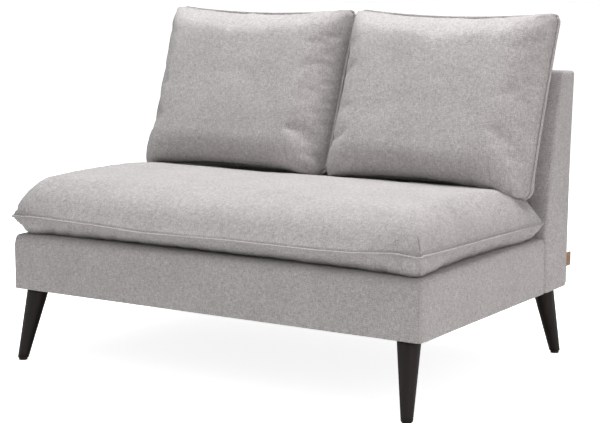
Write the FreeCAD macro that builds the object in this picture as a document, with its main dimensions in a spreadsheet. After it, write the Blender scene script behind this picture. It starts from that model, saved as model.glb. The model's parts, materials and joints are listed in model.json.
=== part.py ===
import FreeCAD, Part
import math
import os
import re
import Sketcher
from FreeCAD import Placement, Rotation, Vector

# Armless two-seat sofa: a wooden frame with woven seat webbing, an upholstered base and back,
# one loose bench seat cushion and two loose back cushions. Millimetres, +Z up, front towards -Y,
# origin on the floor at the middle of the footprint.

SIZES = {
    # overall outline
    "seat_width": 1200,
    "seat_depth": 673,
    "frame_depth": 809,
    "hem_height": 186,
    "deck_height": 328,
    "back_height": 748,
    "back_rake": 23,
    "back_top_thickness": 70,
    "back_front_bow": 9,
    "back_rear_bow": 6,
    "knee_height": 345,
    "back_edge_bevel": 5,
    "base_edge_radius": 5,
    "deck_front_radius": 24,
    "deck_rear_radius": 28,
    # layers of the upholstery
    "fabric_gauge": 1.5,
    "wadding_gauge": 8,
    "deck_foam_gauge": 20,
    "felt_gauge": 4,
    "back_foam_gauge": 30,
    "outer_board_gauge": 3,
    "hem_turn": 24,
    "dust_cover_gauge": 0.6,
    "dust_cover_inset": 8,
    "layer_gap": 0.2,
    # timber
    "rail_stock": 22,
    "webbing_rail_height": 64,
    "webbing_rail_setback": 10,
    "brace_height": 42,
    "block_leg": 92,
    "block_height": 34,
    "back_rail_height": 60,
    "lower_rail_setback": 14,
    "top_rail_setback": 7,
    # seat and back webbing
    "strap_width": 70,
    "strap_gauge": 1.6,
    "strap_end": 4,
    "long_straps": 8,
    "cross_straps": 4,
    "back_straps": 3,
    # legs and their fixings
    "leg_inset_side": 50,
    "leg_inset_front": 39,
    "leg_inset_rear": 43,
    "splay_side": 20,
    "splay_fore": 44,
    "leg_top_radius": 28.5,
    "leg_foot_radius": 14,
    "leg_sides": 32,
    "glide_height": 5,
    "glide_radius": 11,
    "plate_side": 56,
    "plate_gauge": 2.4,
    "bush_radius": 5.5,
    "bush_height": 14,
    "bolt_radius": 4,
    "bolt_reach": 30,
    "bolt_clearance": 0.3,
    "lap_bolt_head_radius": 9,
    "lap_bolt_head_height": 4,
    "lap_bolt_spacing": 40,
    # bench seat cushion
    "seam_height": 370,
    "cushion_depth": 652,
    "cushion_rise": 106,
    "cushion_crown_radius": 2100,
    "cushion_crown_back": 280,
    "cushion_round": 69,
    "cushion_under_round": 36,
    "cushion_pull": 5,
    "lip_reach": 3,
    "lip_gauge": 3,
    "lip_corner": 6,
    "cover_gauge": 2.4,
    "filling_gap": 0.4,
    "rest_gap": 0.3,
    # back cushions
    "pillow_height": 458,
    "pillow_lean": 20,
    "pillow_sink": 13.5,
    "pillow_rest_gap": 0.2,
    "pillow_front_rise": 100,
    "pillow_rear_rise": 68,
    "pillow_crown_radius": 3000,
    "pillow_front_round": 70,
    "pillow_rear_round": 54,
    "pillow_pull_side": 5,
    "pillow_pull_end": 10,
    "pillow_gap": 3,
    "pillow_corner": 6,
    "welt_radius": 3.5,
    "welt_gap": 0.2,
    "welt_sides": 6,
    # zip fasteners of the loose covers
    "zip_tape_width": 16,
    "zip_tape_gauge": 1,
    "zip_teeth_width": 5,
    "zip_teeth_height": 1.4,
    "zip_end_margin": 60,
    "zip_slider_length": 10,
    "zip_slider_width": 9,
    "zip_slider_wall": 1.2,
    "zip_gap": 0.3,
    "zip_pull_length": 22,
    "zip_pull_width": 6,
    "zip_pull_gauge": 1.2,
    "pillow_zip_height": 78,
    # bare tag sewn into the right rear seam
    "tag_low": 234,
    "tag_width": 36,
    "tag_reach": 35,
    "tag_gauge": 1.1,
    "tag_slit": 0.6,
}

# Places that follow from the sizes above.
PLACES = {
    "rear_reach": "frame_depth + tag_reach",
    "front_reach": "splay_fore - leg_inset_front + leg_foot_radius",
    "face_y": "(front_reach - rear_reach) / 2",
    "half": "seat_width / 2",
    "padding": "fabric_gauge + wadding_gauge",
    "timber_half": "half - padding",
    "rail_inner": "timber_half - rail_stock",
    "timber_front": "face_y + padding",
    "rail_back": "timber_front + rail_stock",
    "timber_rear": "face_y + frame_depth - padding",
    "seat_rear": "face_y + seat_depth",
    "timber_foot": "hem_height + fabric_gauge",
    "felt_level": "deck_height - fabric_gauge - deck_foam_gauge - felt_gauge - 2 * layer_gap",
    "strap_level": "felt_level - 2 * strap_gauge - 2 * layer_gap",
    "rail_height": "strap_level - timber_foot",
    "post_inset": "fabric_gauge + back_foam_gauge + strap_gauge + 3 * layer_gap",
    "post_front": "seat_rear + post_inset",
    "post_top": "back_height - padding",
    "back_top_rear": "face_y + frame_depth + back_rake",
    "back_top_front": "back_top_rear - back_top_thickness",
    "webbing_rail_y": "seat_rear - webbing_rail_setback - rail_stock",
    "lap_length": "timber_rear - post_front",
    "plate_level": "timber_foot - plate_gauge",
    "leg_front_y": "face_y + leg_inset_front",
    "leg_rear_y": "face_y + frame_depth - leg_inset_rear",
    "leg_x": "half - leg_inset_side",
    "lower_rail_top": "knee_height + back_rail_height",
    "top_rail_low": "post_top - back_rail_height",
    "pillow_foot_z": "seam_height + cushion_rise - pillow_sink",
    "pillow_above": "(back_height - pillow_foot_z) * sin(pillow_lean)",
    "pillow_behind": "(pillow_above + pillow_rear_rise + pillow_rest_gap) / cos(pillow_lean)",
    "pillow_foot_y": "back_top_front - pillow_behind",
}

SIDES = {"left": "-1", "right": "1"}
ENDS = {"front": "-1", "rear": "1"}

doc = FreeCAD.newDocument("Sofa")
sheet = doc.addObject("Spreadsheet::Sheet", "Sizes")
for row, (name, value) in enumerate(SIZES.items(), 1):
    sheet.set(f"A{row}", name)
    sheet.set(f"B{row}", str(value))
    sheet.setAlias(f"B{row}", name)
doc.recompute()

layout = doc.addObject("App::VarSet", "Layout")


def rule(text):
    """An expression in which each bare name points at its cell or its place."""

    def owner(match):
        word = match.group(0)
        if word in SIZES:
            return f"Sizes.{word}"
        return f"Layout.{word}" if word in PLACES else word

    return re.sub(r"[a-z_]+", owner, text)


for name, text in PLACES.items():
    layout.addProperty("App::PropertyFloat", name)
    layout.setExpression(name, rule(text))
doc.recompute()

subparts = {}


def number(text):
    """The present value of a size, a place or an expression."""
    return float(layout.evalExpression(rule(text)))


def numbers(*texts):
    return [number(text) for text in texts]


def named(node, thing):
    """Registers an object as the sub-part of that name."""
    thing.Label = node
    subparts[node] = thing
    return thing


def bind(thing, rules):
    """Ties properties to expressions."""
    for prop, text in rules.items():
        thing.setExpression(prop, rule(text))
    return thing


def seat_at(thing, x, y, z):
    """Ties an object's place to three expressions."""
    return bind(thing, {"Placement.Base.x": x, "Placement.Base.y": y, "Placement.Base.z": z})


def board(label, low, spans):
    """A rectangular piece from its low corner and its three spans."""
    box = doc.addObject("Part::Box", label)
    bind(box, dict(zip(("Length", "Width", "Height"), spans)))
    return seat_at(box, *low)


def rod(label, radius, length, place, axis=Vector(0, 0, 1)):
    """A round piece along an axis, from the middle of its first end."""
    cylinder = doc.addObject("Part::Cylinder", label)
    cylinder.Placement = Placement(Vector(), Rotation(Vector(0, 0, 1), axis))
    bind(cylinder, {"Radius": radius, "Height": length})
    return seat_at(cylinder, *place)


def without(label, base, tools):
    """The base less one tool or several."""
    cut = doc.addObject("Part::Cut", label)
    cut.Base = base
    cut.Tool = tools[0] if len(tools) == 1 else joined(f"{label}Tools", tools)
    return cut


def joined(label, pieces):
    fuse = doc.addObject("Part::MultiFuse", label)
    fuse.Shapes = pieces
    return fuse


def group(label, pieces):
    """Separate solids that share one node."""
    compound = doc.addObject("Part::Compound", label)
    compound.Links = pieces
    return compound


def formed(label, shape):
    """A piece whose shape is worked out in code from the same sizes."""
    piece = doc.addObject("Part::Feature", label)
    piece.Shape = shape
    return piece


def corners():
    """Each corner of the frame: its name, side sign, fore-and-aft sign and leg depth."""
    for end, fore in ENDS.items():
        for side, sign in SIDES.items():
            yield f"{end}_{side}", sign, fore, f"leg_{end}_y"


def camel(words):
    return "".join(word.title() for word in words.split("_"))


# Sketches

def flat_sketch(body, label, role):
    """A sketch on one of the body's own origin planes."""
    sketch = body.newObject("Sketcher::SketchObject", label)
    plane = [face for face in body.Origin.OriginFeatures if face.Role == role][0]
    sketch.AttachmentSupport = [(plane, "")]
    sketch.MapMode = "FlatFace"
    return sketch


def bowed(start, end, bow):
    """An arc between two points, bowed to the left of its run by a sagitta, or a line."""
    if bow == 0:
        return Part.LineSegment(start, end)
    run = end - start
    across = (Placement(Vector(), Rotation(Vector(0, 0, 1), 90)).multVec(run)).normalize()
    return Part.Arc(start, (start + end) / 2 + across * bow, end)


def closed_outline(sketch, points, bows):
    """Sides between tied points; bows names the sides that are arcs, with their sagitta."""
    spots = [Vector(number(a), number(b), 0) for a, b in points]
    count = len(spots)
    first = {}
    for index, spot in enumerate(spots):
        bow = number(bows.get(index, "0"))
        sketch.addGeometry(bowed(spot, spots[(index + 1) % count], bow))
        first[index] = 1 if (sketch.getPoint(index, 1) - spot).Length < 1e-6 else 2
    for index in range(count):
        after = (index + 1) % count
        last = 3 - first[index]
        sketch.addConstraint(Sketcher.Constraint("Coincident", index, last, after, first[after]))
    for index, texts in enumerate(points):
        for kind, text in zip(("DistanceX", "DistanceY"), texts):
            tie = sketch.addConstraint(
                Sketcher.Constraint(kind, -1, 1, index, first[index], number(text))
            )
            sketch.setExpression(f"Constraints[{tie}]", rule(text))
    for index, bow in bows.items():
        (ax, ay), (bx, by) = points[index], points[(index + 1) % count]
        chord_square = f"((({bx}) - ({ax})) ^ 2 + (({by}) - ({ay})) ^ 2)"
        radius = f"abs({chord_square} / (8 * ({bow})) + ({bow}) / 2)"
        tie = sketch.addConstraint(Sketcher.Constraint("Radius", index, number(radius)))
        sketch.setExpression(f"Constraints[{tie}]", rule(radius))


def padded_body(label, role, points, length, bows=None):
    """A body of one sketched outline and one pad."""
    body = doc.addObject("PartDesign::Body", label)
    sketch = flat_sketch(body, f"{label}Sketch", role)
    closed_outline(sketch, points, bows or {})
    pad = body.newObject("PartDesign::Pad", f"{label}Pad")
    pad.Profile = sketch
    bind(pad, {"Length": length})
    return body


# Base frame

def make_base_rails():
    named("front_rail", board(
        "FrontRail",
        ("-timber_half", "timber_front", "timber_foot"),
        ("2 * timber_half", "rail_stock", "rail_height"),
    ))
    named("rear_rail", board(
        "RearRail",
        ("-rail_inner", "timber_rear - rail_stock", "timber_foot"),
        ("2 * rail_inner", "rail_stock", "rail_height"),
    ))
    named("webbing_rail", board(
        "WebbingRail",
        ("-rail_inner", "webbing_rail_y", "strap_level - webbing_rail_height"),
        ("2 * rail_inner", "rail_stock", "webbing_rail_height"),
    ))
    named("centre_brace", board(
        "CentreBrace",
        ("-rail_stock / 2", "rail_back", "timber_foot"),
        ("rail_stock", "timber_rear - rail_stock - rail_back", "brace_height"),
    ))


def lap_bolt_spots():
    """Depth and height of the two bolts through each half-lap joint, above the corner block."""
    for step in (-1, 1):
        middle = "timber_foot + (rail_height + block_height) / 2"
        yield "post_front + lap_length / 2", f"{middle} + {step} * lap_bolt_spacing / 2"


def lap_bores(label, side):
    """Clearance holes for the lap bolts, right through the thickness of the timber."""
    low = "-timber_half" if side == "left" else "rail_inner"
    return [
        rod(
            f"{label}{index}", "bolt_radius + bolt_clearance", "rail_stock",
            (low, depth, height), Vector(1, 0, 0),
        )
        for index, (depth, height) in enumerate(lap_bolt_spots())
    ]


def make_side_rails():
    """Side rails, halved on the outside at the rear, where the feet of the back posts lap over them."""
    for side in SIDES:
        low = "-timber_half" if side == "left" else "rail_inner"
        lap_low = "-timber_half" if side == "left" else "rail_inner + rail_stock / 2"
        rail = board(
            f"{side}RailBoard",
            (low, "rail_back", "timber_foot"),
            ("rail_stock", "timber_rear - rail_back", "rail_height"),
        )
        lap = board(
            f"{side}RailLap",
            (lap_low, "post_front", "timber_foot"),
            ("rail_stock / 2", "lap_length", "rail_height"),
        )
        bores = lap_bores(f"{side}RailBore", side)
        named(f"{side}_side_rail", without(f"{side}SideRail", rail, [lap] + bores))


def make_corner_blocks():
    """Triangular blocks in the four corners, bored for the bushes of the leg plates."""
    blocks = []
    for name, sign, fore, leg_y in corners():
        corner_y = "rail_back" if fore == "-1" else "timber_rear - rail_stock"
        points = [
            (f"{sign} * rail_inner", corner_y),
            (f"{sign} * (rail_inner - block_leg)", corner_y),
            (f"{sign} * rail_inner", f"{corner_y} - {fore} * block_leg"),
        ]
        block = padded_body(f"{camel(name)}Block", "XY_Plane", points, "block_height")
        seat_at(block, "0", "0", "timber_foot")
        bore = rod(
            f"{camel(name)}BlockBore",
            "bush_radius + bolt_clearance",
            "block_height",
            (f"{sign} * leg_x", leg_y, "timber_foot"),
        )
        blocks.append(without(f"{camel(name)}BoredBlock", block, [bore]))
    named("corner_blocks", group("CornerBlocks", blocks))


# Back frame

def back_points(inset):
    """Corner points of the back's side outline, drawn in from the front and the rear by the inset."""
    return [
        (f"seat_rear + {inset}", "hem_height"),
        (f"seat_rear + {inset}", "knee_height"),
        (f"back_top_front + {inset}", "back_height"),
        ("back_top_rear - padding", "back_height"),
        ("timber_rear", "hem_height"),
    ]


def post_blank(label, low_x):
    """A post's board, sawn to the curved side outline of the back."""
    bows = {1: "back_front_bow", 3: "-back_rear_bow"}
    body = padded_body(label, "YZ_Plane", back_points("post_inset"), "rail_stock", bows)
    return seat_at(body, low_x, "0", "0")


def between(label, blank, low, high):
    """The stretch of a blank between two heights."""
    window = board(
        f"{label}Window",
        ("-half", "face_y", low),
        ("2 * half", "2 * frame_depth", f"{high} - ({low})"),
    )
    common = doc.addObject("Part::Common", label)
    common.Base = blank
    common.Tool = window
    return common


def make_back_frame():
    for side in SIDES:
        low = "-timber_half" if side == "left" else "rail_inner"
        inner = "-timber_half + rail_stock / 2" if side == "left" else "rail_inner"
        post = between(f"{side}PostLength", post_blank(f"{side}PostBlank", low), "timber_foot", "post_top")
        lap = board(
            f"{side}PostLap",
            (inner, "post_front", "timber_foot"),
            ("rail_stock / 2", "lap_length", "rail_height"),
        )
        bores = lap_bores(f"{side}PostBore", side)
        named(f"{side}_back_post", without(f"{side}BackPost", post, [lap] + bores))
    stile = post_blank("StileBlank", "-rail_stock / 2")
    named("back_centre_stile", between("CentreStile", stile, "lower_rail_top", "top_rail_low"))
    named("back_top_rail", board(
        "BackTopRail",
        ("-rail_inner", "back_top_rear - padding - top_rail_setback - rail_stock", "top_rail_low"),
        ("2 * rail_inner", "rail_stock", "back_rail_height"),
    ))
    named("back_lower_rail", board(
        "BackLowerRail",
        ("-rail_inner", "post_front + lower_rail_setback", "knee_height"),
        ("2 * rail_inner", "rail_stock", "back_rail_height"),
    ))


def make_lap_bolts():
    """Bolts through the half-laps, with their heads on the inside of the frame."""
    bolts = []
    for side, sign in SIDES.items():
        inward = Vector(1, 0, 0) if side == "left" else Vector(-1, 0, 0)
        for index, (depth, height) in enumerate(lap_bolt_spots()):
            shank = rod(
                f"{side}LapShank{index}", "bolt_radius", "rail_stock - layer_gap",
                (f"{sign} * (timber_half - layer_gap)", depth, height), inward,
            )
            head = doc.addObject("Part::Prism", f"{side}LapHead{index}")
            head.Placement = Placement(Vector(), Rotation(Vector(0, 0, 1), inward))
            bind(head, {"Circumradius": "lap_bolt_head_radius", "Height": "lap_bolt_head_height"})
            seat_at(head, f"{sign} * rail_inner", depth, height)
            bolts.append(joined(f"{side}LapBolt{index}", [shank, head]))
    named("lap_bolts", group("LapBolts", bolts))


# Legs

def leg_taper(label, sign, fore, leg_y):
    """A leg's many-sided taper between level rings, leaning outwards to the side and to its end."""
    sides = int(number("leg_sides"))
    x, y, top, foot = numbers(f"{sign} * leg_x", leg_y, "plate_level", "glide_height")
    lean_x, lean_y = numbers(f"{sign} * splay_side", f"{fore} * splay_fore")
    rings = []
    for radius, middle in (
        (number("leg_foot_radius"), Vector(x + lean_x, y + lean_y, foot)),
        (number("leg_top_radius"), Vector(x, y, top)),
    ):
        turns = [2 * math.pi * side / sides for side in range(sides)]
        rings.append([middle + Vector(math.cos(turn), math.sin(turn), 0) * radius for turn in turns])
    low, high = rings
    faces = [Part.Face(Part.makePolygon(ring + ring[:1])) for ring in rings]
    for side in range(sides):
        after = (side + 1) % sides
        stave = [low[side], low[after], high[after], high[side], low[side]]
        faces.append(Part.Face(Part.makePolygon(stave)))
    return formed(label, Part.makeSolid(Part.makeShell(faces)))


def make_legs():
    """Tapering legs that splay outwards, level at both ends, with a bore for the hanger bolt."""
    plates, bolts, glides = [], [], []
    for name, sign, fore, leg_y in corners():
        tag = camel(name)
        taper = leg_taper(f"{tag}LegTaper", sign, fore, leg_y)
        spot = (f"{sign} * leg_x", leg_y)
        bore = rod(
            f"{tag}LegBore", "bolt_radius + bolt_clearance", "bolt_reach + bolt_clearance",
            (*spot, "plate_level - bolt_reach - bolt_clearance"),
        )
        named(f"{name}_leg", without(f"{tag}Leg", taper, [bore]))
        plates.append(leg_plate(f"{tag}Plate", spot))
        bolts.append(rod(
            f"{tag}HangerBolt", "bolt_radius", "bolt_reach + plate_gauge + bush_height",
            (*spot, "plate_level - bolt_reach"),
        ))
        glides.append(rod(
            f"{tag}Glide", "glide_radius", "glide_height",
            (f"{sign} * (leg_x + splay_side)", f"{leg_y} + {fore} * splay_fore", "0"),
        ))
    named("leg_plates", group("LegPlates", plates))
    named("hanger_bolts", group("HangerBolts", bolts))
    named("leg_glides", group("LegGlides", glides))


def leg_plate(label, spot):
    """A square plate with rounded corners and a bush that stands up into the corner block."""
    x, y = spot
    plate = board(
        f"{label}Square",
        (f"{x} - plate_side / 2", f"{y} - plate_side / 2", "plate_level"),
        ("plate_side", "plate_side", "plate_gauge"),
    )
    spot, length = (x, y, "plate_level"), "plate_gauge + bush_height"
    bush = rod(f"{label}Bush", "bush_radius", length, spot)
    bore = rod(f"{label}Bore", "bolt_radius + bolt_clearance", length, spot)
    return without(label, joined(f"{label}Blank", [plate, bush]), [bore])


def plate_notches(low, high):
    """Clearance for the four leg plates, as plain solids between two heights."""
    side, gap = numbers("plate_side", "bolt_clearance")
    reach = side + 2 * gap
    notches = []
    for _, sign, _, leg_y in corners():
        x, y = numbers(f"{sign} * leg_x", leg_y)
        corner = Vector(x - reach / 2, y - reach / 2, low)
        notches.append(Part.makeBox(reach, reach, high - low, corner))
    return notches


# Seat webbing and deck

def strap_spacing():
    """Middle lines of the long and of the cross straps, evenly shared out."""
    inner, front, rear, width = numbers("rail_inner", "rail_back", "webbing_rail_y", "strap_width")
    longs, crosses = int(number("long_straps")), int(number("cross_straps"))
    long_pitch = 2 * inner / longs
    cross_pitch = (rear - front) / crosses
    return (
        [-inner + (index + 0.5) * long_pitch for index in range(longs)],
        [front + (index + 0.5) * cross_pitch for index in range(crosses)],
        width,
    )


def make_seat_webbing():
    """Flat long straps with cross straps woven over and under them in turn."""
    level, gauge, gap, end = numbers("strap_level", "strap_gauge", "layer_gap", "strap_end")
    front, rear, half = numbers("timber_front", "webbing_rail_y + rail_stock", "timber_half")
    longs, crosses, width = strap_spacing()
    straps = [
        Part.makeBox(width, rear - front - 2 * end, gauge, Vector(x - width / 2, front + end, level))
        for x in longs
    ]
    rise = gauge + gap
    for row, y in enumerate(crosses):
        line = [(-half + end, 0), (longs[0] - width / 2 - 2 * end, 0)]
        for column, x in enumerate(longs):
            side = 1 if (row + column) % 2 else -1
            line += [(x - width / 2 - gauge, side * rise), (x + width / 2 + gauge, side * rise)]
        line += [(longs[-1] + width / 2 + 2 * end, 0), (half - end, 0)]
        under = [Vector(x, y - width / 2, level + z) for x, z in line]
        over = [point + Vector(0, 0, gauge) for point in reversed(under)]
        outline = Part.makePolygon(under + over + under[:1])
        straps.append(Part.Face(outline).extrude(Vector(0, width, 0)))
    named("seat_webbing", formed("SeatWebbing", Part.makeCompound(straps)))


def base_block(inset, low):
    """The base's block with rounded upper edges, drawn in all round by the inset."""
    half, front, rear, top = numbers("half", "face_y", "seat_rear", "deck_height")
    front_round, rear_round, edge = numbers("deck_front_radius", "deck_rear_radius", "base_edge_radius")
    half, front, rear, top = half - inset, front + inset, rear - inset, top - inset
    box = slab(-half, half, front, rear, low, top)
    block = box.makeFillet(front_round - inset, edges_at(box, y=front, z=top))
    block = block.makeFillet(rear_round - inset, edges_at(block, y=rear, z=top))
    if inset > 0:
        return block
    ends = [line for x in (-half, half) for line in edges_at(box, x=x, z=top)]
    uprights = [line for x in (-half, half) for y in (front, rear) for line in edges_at(box, x=x, y=y)]
    return block.common(box.makeFillet(edge, ends)).common(box.makeFillet(edge, uprights))


def edges_at(shape, **planes):
    """The edges that lie in every one of the named planes."""
    found = []
    for edge in shape.Edges:
        box = edge.BoundBox
        spans = {"x": (box.XMin, box.XMax), "y": (box.YMin, box.YMax), "z": (box.ZMin, box.ZMax)}
        if all(abs(end - level) < 1e-3 for axis, level in planes.items() for end in spans[axis]):
            found.append(edge)
    return found


def slab(x0, x1, y0, y1, z0, z1):
    return Part.makeBox(x1 - x0, y1 - y0, z1 - z0, Vector(x0, y0, z0))


def make_seat_deck():
    """Felt over the webbing, the deck foam, the wadding round the rails and the sewn base cover."""
    half, timber, front, rear = numbers("half", "timber_half", "timber_front", "seat_rear")
    fabric, gap, foot, hem = numbers("fabric_gauge", "layer_gap", "timber_foot", "hem_height")
    felt, felt_gauge, deck, turn = numbers("felt_level", "felt_gauge", "deck_height", "hem_turn")
    foam_low = felt + felt_gauge + gap
    inside = base_block(fabric + gap, foot)
    named("seat_felt", board(
        "SeatFelt",
        ("-timber_half", "timber_front", "felt_level"),
        ("2 * timber_half", "seat_rear - webbing_rail_setback - timber_front", "felt_gauge"),
    ))
    middle = slab(-timber, timber, front, rear, foam_low, deck)
    named("deck_foam", formed("DeckFoam", inside.common(middle)))
    core = slab(-timber - gap, timber + gap, front - gap, rear + 1, foot - 1, deck)
    named("base_wadding", formed("BaseWadding", inside.cut(core)))
    cover = base_block(0, hem).cut(base_block(fabric, hem + fabric))
    openings = [
        slab(-half + turn, half - turn, number("face_y") + turn, rear + 1, hem - 1, foot + 1),
        slab(-timber - gap, timber + gap, rear - turn, rear + 1, foot, number("strap_level")),
    ]
    named("base_cover", formed("BaseCover", cover.cut(openings + plate_notches(hem - 1, foot))))


# Upholstered back

def back_curve(side, inset):
    """The bowed upper edge of the back's side outline, front or rear, drawn in by the inset."""
    seat_rear, knee, top, hem = numbers("seat_rear", "knee_height", "back_height", "hem_height")
    if side == "front":
        low = Vector(0, seat_rear + inset, knee)
        high = Vector(0, number("back_top_front") + inset, top)
        bow = -number("back_front_bow")
    else:
        low = Vector(0, number("face_y + frame_depth") - inset, hem)
        high = Vector(0, number("back_top_rear") - inset, top)
        bow = -number("back_rear_bow")
    run = high - low
    across = Vector(0, run.z, -run.y).normalize()
    return low, (low + high) / 2 + across * bow, high


def back_block(front_inset, rear_inset, side_inset, bevel):
    """The back's block between its front and rear curves, with bevelled edges where bevel is above 0."""
    half, hem, top = numbers("half", "hem_height", "back_height")
    a, a_middle, b = back_curve("front", front_inset)
    d, c_middle, c = back_curve("rear", rear_inset)
    foot = Vector(0, a.y, hem)
    outline = Part.Wire([
        Part.LineSegment(foot, a).toShape(),
        Part.Arc(a, a_middle, b).toShape(),
        Part.LineSegment(b, c).toShape(),
        Part.Arc(c, c_middle, d).toShape(),
        Part.LineSegment(d, foot).toShape(),
    ])
    face = Part.Face(outline)
    face.translate(Vector(-half + side_inset, 0, 0))
    block = face.extrude(Vector(2 * (half - side_inset), 0, 0))
    if bevel == 0:
        return block
    edges = [line for y in (b.y, c.y) for line in edges_at(block, y=y, z=top)]
    for x in (-half + side_inset, half - side_inset):
        edges += [
            line for line in edges_at(block, x=x) if line.BoundBox.ZMax > hem + 1
        ]
    return block.makeChamfer(bevel, edges)


def strip(side, inset, gauge, half_width, low, high):
    """A layer that follows the front or the rear curve, between two heights."""
    if side == "front":
        block = back_block(inset, 0, 0, 0).cut(back_block(inset + gauge, 0, 0, 0))
    else:
        block = back_block(0, inset, 0, 0).cut(back_block(0, inset + gauge, 0, 0))
    reach = numbers("face_y", "face_y + 2 * frame_depth")
    return block.common(slab(-half_width, half_width, *reach, low, high))


def make_back_layers():
    """Webbing, front foam, the rear board, the wadding over the frame and the sewn back cover."""
    half, timber, fabric, gap = numbers("half", "timber_half", "fabric_gauge", "layer_gap")
    hem, foot, top, padding = numbers("hem_height", "timber_foot", "post_top", "padding")
    foam, strap, width = numbers("back_foam_gauge", "strap_gauge", "strap_width")
    low, high = numbers("lower_rail_top", "top_rail_low")
    turn, edge, board_gauge = numbers("hem_turn", "back_edge_bevel", "outer_board_gauge")
    strap_inset = fabric + foam + 2 * gap
    count = int(number("back_straps"))
    pitch = (high - low) / count
    straps = []
    for index in range(count):
        level = low + (index + 0.5) * pitch - width / 2
        straps.append(strip("front", strap_inset, strap, timber, level, level + width))
    named("back_webbing", formed("BackWebbing", Part.makeCompound(straps)))
    padding_front = strip("front", fabric + gap, foam, timber, number("knee_height"), top)
    named("back_foam", formed("BackFoam", padding_front))
    rear = strip("rear", padding - board_gauge, board_gauge - gap, timber, foot, top)
    named("outer_board", formed("OuterBoard", rear))
    skin = fabric + gap
    wadding = back_block(number("post_inset"), skin, skin, 0)
    reach = numbers("face_y", "face_y + 2 * frame_depth")
    wadding = wadding.common(slab(-half, half, *reach, foot, number("back_height") - skin))
    core = back_block(-edge, padding - board_gauge - gap, padding - gap, 0)
    core = core.common(slab(-half, half, *reach, hem - 1, top + gap))
    named("back_wadding", formed("BackWadding", wadding.cut(core)))
    cover = back_block(0, 0, 0, edge)
    cavity = back_block(fabric, fabric, fabric, 0)
    cavity = cavity.common(slab(-half, half, *reach, foot, number("back_height") - fabric))
    seat_rear = number("seat_rear")
    rear_hem = number("face_y + frame_depth") - turn
    openings = [
        slab(-half + turn, half - turn, seat_rear - 1, rear_hem, hem - 1, foot + 1),
        slab(-timber - gap, timber + gap, seat_rear - 1, seat_rear + turn, foot, number("strap_level")),
    ]
    named("back_cover", formed("BackCover", cover.cut(cavity).cut(openings + plate_notches(hem - 1, foot))))


def make_dust_cover():
    """Thin black cloth stretched under the frame, notched round the leg plates."""
    half, front, rear, hem = numbers("half", "face_y", "face_y + frame_depth", "hem_height")
    gauge, inset = numbers("dust_cover_gauge", "dust_cover_inset")
    cloth = slab(-half + inset, half - inset, front + inset, rear - inset, hem - gauge, hem)
    named("dust_cover", formed("DustCover", cloth.cut(plate_notches(hem - 1, hem + 1))))


def make_side_tag():
    """A folded ribbon sewn into the right rear seam, left bare."""
    half, low, width, reach = numbers("half", "tag_low", "tag_width", "tag_reach")
    gauge, slit, rear = numbers("tag_gauge", "tag_slit", "face_y + frame_depth")
    fold = 2 * gauge + slit
    high_x = half - number("back_edge_bevel")
    tag = slab(high_x - fold, high_x, rear - reach, rear + reach, low, low + width)
    tip = [line for line in edges_at(tag, y=rear + reach) if line.BoundBox.ZLength > width / 2]
    tag = tag.makeFillet(0.49 * fold, tip)
    opening = slab(
        high_x - fold + gauge, high_x - gauge,
        rear - reach, rear + reach - 2 * gauge,
        low - 1, low + width + 1,
    )
    tag = tag.cut([opening, back_block(0, -number("layer_gap"), 0, 0)])
    named("side_tag", formed("SideTag", tag))


# Loose cushions

def bowed_outline(plan, grow):
    """A rectangle whose sides are drawn in by pulls (near, right, far, left), grown all round."""
    half, low, high, pulls = plan
    half, low, high = half + grow, low - grow, high + grow
    spots = [Vector(-half, low), Vector(half, low), Vector(half, high), Vector(-half, high)]
    return Part.Wire([
        bowed(spots[index], spots[(index + 1) % 4], pulls[index]).toShape() for index in range(4)
    ])


def rounded_outline(plan, grow, corner):
    """The same outline with rounded corners, tangent to the bowed sides."""
    return bowed_outline(plan, grow - corner).makeOffset2D(corner, 0, False, False)


def cushion_half(plan, inset, corner, rise, edge_round, crown=None):
    """One half of a cushion on its seam plane: two crossed profiles, within a drawn-in outline."""
    half, low, high = plan[0] - inset, plan[1] + inset, plan[2] - inset
    top = rise - inset
    block = slab(-half, half, low, high, 0, top)
    crosswise = block.makeFillet(
        edge_round - inset, [line for x in (-half, half) for line in edges_at(block, x=x, z=top)]
    )
    lengthwise = block if crown is None else block.common(crown(inset))
    long_edges = []
    for y in (low, high):
        long_edges += [line for line in edges_at(lengthwise, y=y) if line.BoundBox.ZMin > 1]
    crossed = lengthwise.makeFillet(edge_round - inset, long_edges).common(crosswise)
    if corner == 0:
        return crossed
    outline = rounded_outline(plan, -inset, corner - inset)
    return crossed.common(Part.Face(outline).extrude(Vector(0, 0, rise)))


def cushion_body(plan, inset, corner, front, rear):
    """Both halves on the seam plane, each given by its rise, its edge radius and its crown."""
    halves = [cushion_half(plan, inset, corner, *half) for half in (front, rear)]
    flipped = halves[1].mirror(Vector(0, 0, 0), Vector(0, 0, 1))
    return halves[0].fuse(flipped).removeSplitter()


def cover_and_filling(plan, corner, front, rear, trim=None):
    """The sewn cover as a closed skin, and inside it a filling with straight sides."""
    gauge, gap = numbers("cover_gauge", "filling_gap")
    half, low, high, pulls = plan
    cavity = cushion_body(plan, gauge, corner, front, rear)
    cover = cushion_body(plan, 0, corner, front, rear).cut(cavity)
    if trim is not None:
        cover = cover.fuse(trim.cut(cavity)).removeSplitter()
    straight = (half - pulls[1], low + pulls[0], high - pulls[2], (0, 0, 0, 0))
    return cover, cushion_body(straight, gauge + gap, 0, front, rear)


def seat_plan():
    half, depth, pull, lip = numbers("half", "cushion_depth", "cushion_pull", "lip_reach")
    return half - lip, 0, depth, (pull, pull, 0, pull)


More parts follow.
